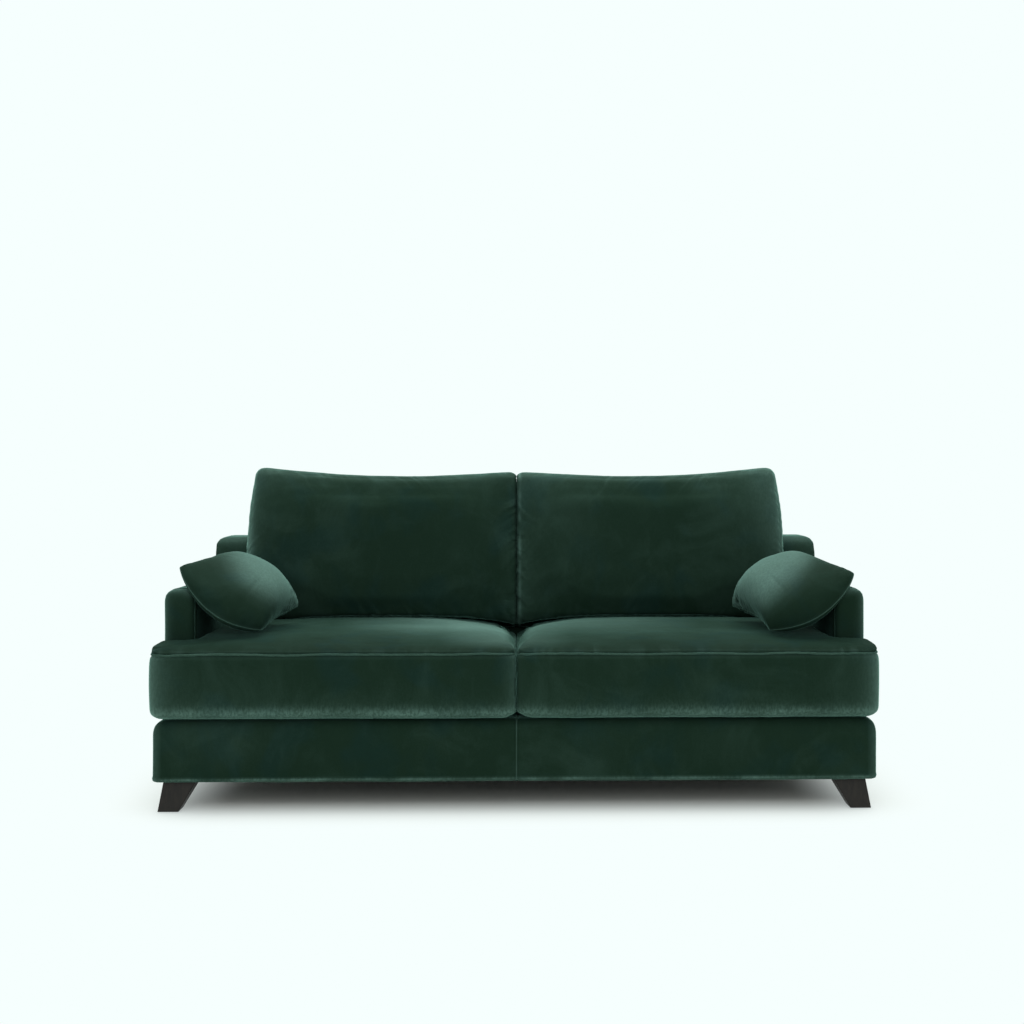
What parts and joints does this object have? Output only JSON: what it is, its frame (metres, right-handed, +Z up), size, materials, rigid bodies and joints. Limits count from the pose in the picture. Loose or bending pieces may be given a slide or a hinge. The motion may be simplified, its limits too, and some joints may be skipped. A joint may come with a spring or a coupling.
{
  "type": "two cushion sofa",
  "caption": "Low upholstered sofa with slim arms, T-shaped loose seat cushions, loose back cushions, scatter cushions and splayed block legs.",
  "frame": {"origin": "on the floor, under the middle of the overall box", "axes": "+Z up, -Y towards the front, +X to the right seen from the front"},
  "size_m": [2.012, 0.94, 0.9564],
  "materials": {
    "velvet": "matte velvet pile",
    "leg_wood": "dark stained, satin",
    "timber": "unfinished",
    "steel": "plain",
    "cambric": "matte",
    "webbing": "matte",
    "glide_plastic": "matte"
  },
  "bodies": {
    "frame": {"arm_cover_left": "velvet", "arm_cover_right": "velvet", "arm_facing_left": "velvet", "arm_facing_right": "velvet", "arm_post_left": "timber", "arm_post_right": "timber", "arm_top_rail_left": "timber", "arm_top_rail_right": "timber", "back_cover": "velvet", "back_lower_rail": "timber", "back_post_left": "timber", "back_post_middle": "timber", "back_post_right": "timber", "back_top_rail": "timber", "back_webbing_1": "webbing", "back_webbing_2": "webbing", "back_webbing_3": "webbing", "back_webbing_4": "webbing", "base_front_pad": "velvet", "corner_block_front_left": "timber", "corner_block_front_right": "timber", "corner_block_rear_left": "timber", "corner_block_rear_right": "timber", "cross_rail_left": "timber", "cross_rail_right": "timber", "dust_cover": "cambric", "front_rail": "timber", "leg_bolt_front_left": "steel", "leg_bolt_front_right": "steel", "leg_bolt_rear_left": "steel", "leg_bolt_rear_right": "steel", "leg_front_left": "leg_wood", "leg_front_right": "leg_wood", "leg_glide_front_left": "glide_plastic", "leg_glide_front_right": "glide_plastic", "leg_glide_rear_left": "glide_plastic", "leg_glide_rear_right": "glide_plastic", "leg_rear_left": "leg_wood", "leg_rear_right": "leg_wood", "outside_back_panel": "velvet", "rear_rail": "timber", "seat_deck": "cambric", "seat_spring_1": "steel", "seat_spring_2": "steel", "seat_spring_3": "steel", "seat_spring_4": "steel", "seat_spring_5": "steel", "seat_spring_6": "steel", "seat_spring_7": "steel", "side_rail_left": "timber", "side_rail_right": "timber", "spring_hook_strip_front": "steel", "spring_hook_strip_rear": "steel"},
    "seat_cushion_left": {"seat_cushion_left": "velvet"},
    "back_cushion_left": {"back_cushion_left": "velvet"},
    "scatter_cushion_left": {"scatter_cushion_left": "velvet"},
    "seat_cushion_right": {"seat_cushion_right": "velvet"},
    "back_cushion_right": {"back_cushion_right": "velvet"},
    "scatter_cushion_right": {"scatter_cushion_right": "velvet"}
  },
  "joints": [
    {"name": "seat_cushion_left_lift", "type": "slide", "parent": "frame", "child": "seat_cushion_left", "axis": [0, 0, 1], "range_m": [0, 0.38]},
    {"name": "back_cushion_left_lift", "type": "slide", "parent": "seat_cushion_left", "child": "back_cushion_left", "axis": [0, 0.1736, 0.9848], "range_m": [0, 0.3]},
    {"name": "scatter_cushion_left_lift", "type": "slide", "parent": "seat_cushion_left", "child": "scatter_cushion_left", "axis": [0, 0, 1], "range_m": [0, 0.25]},
    {"name": "seat_cushion_right_lift", "type": "slide", "parent": "frame", "child": "seat_cushion_right", "axis": [0, 0, 1], "range_m": [0, 0.38]},
    {"name": "back_cushion_right_lift", "type": "slide", "parent": "seat_cushion_right", "child": "back_cushion_right", "axis": [0, 0.1736, 0.9848], "range_m": [0, 0.3]},
    {"name": "scatter_cushion_right_lift", "type": "slide", "parent": "seat_cushion_right", "child": "scatter_cushion_right", "axis": [0, 0, 1], "range_m": [0, 0.25]}
  ]
}
